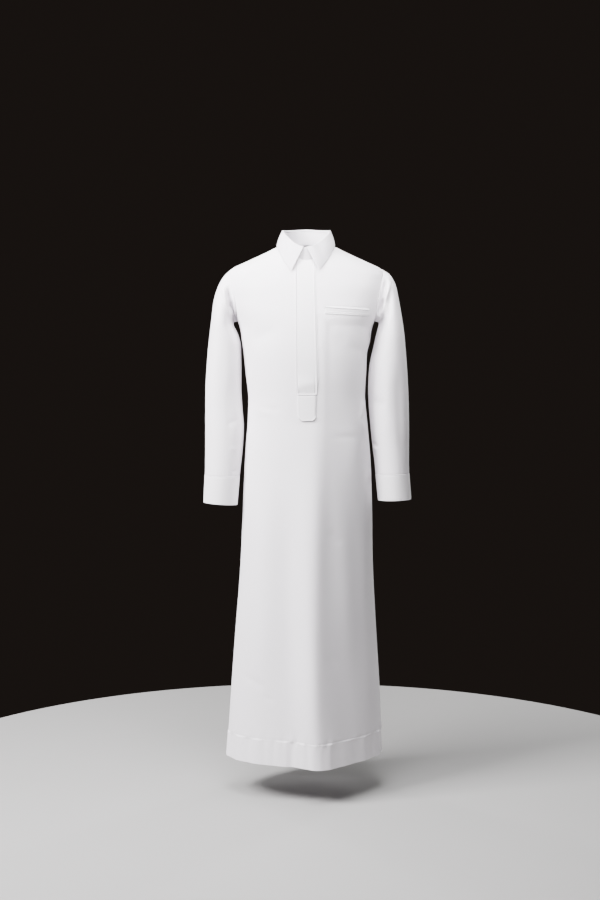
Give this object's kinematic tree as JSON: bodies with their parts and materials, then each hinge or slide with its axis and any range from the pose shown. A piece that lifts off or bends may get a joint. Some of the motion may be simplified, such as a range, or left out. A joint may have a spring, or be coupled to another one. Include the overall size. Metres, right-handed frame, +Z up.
{
  "type": "thobe robe",
  "caption": "White ankle-length thobe robe in its worn hollow form, with turned-down collar, concealed placket, welt chest pocket, side seam pockets and long cuffed sleeves.",
  "frame": {"origin": "centre of the neck's base, level with the high shoulder points", "axes": "+Z up, -Y front, +X the wearer's left"},
  "size_m": [0.5792, 0.3425, 1.4817],
  "materials": {
    "body_cloth": "matt white plain weave",
    "sewn_cloth": "two plies of the same cloth, pressed flat",
    "collar_cloth": "the same cloth, fused and smooth"
  },
  "bodies": {
    "root": {"front_panel": "body_cloth", "back_panel": "body_cloth", "yoke": "body_cloth", "sleeve_left": "body_cloth", "sleeve_right": "body_cloth", "cuff_left": "sewn_cloth", "cuff_right": "sewn_cloth", "placket": "sewn_cloth", "placket_stay": "sewn_cloth", "chest_pocket_welt": "sewn_cloth", "side_pocket_facing_left": "sewn_cloth", "side_pocket_facing_right": "sewn_cloth", "collar_stand": "collar_cloth", "collar_leaf": "collar_cloth"}
  },
  "joints": []
}
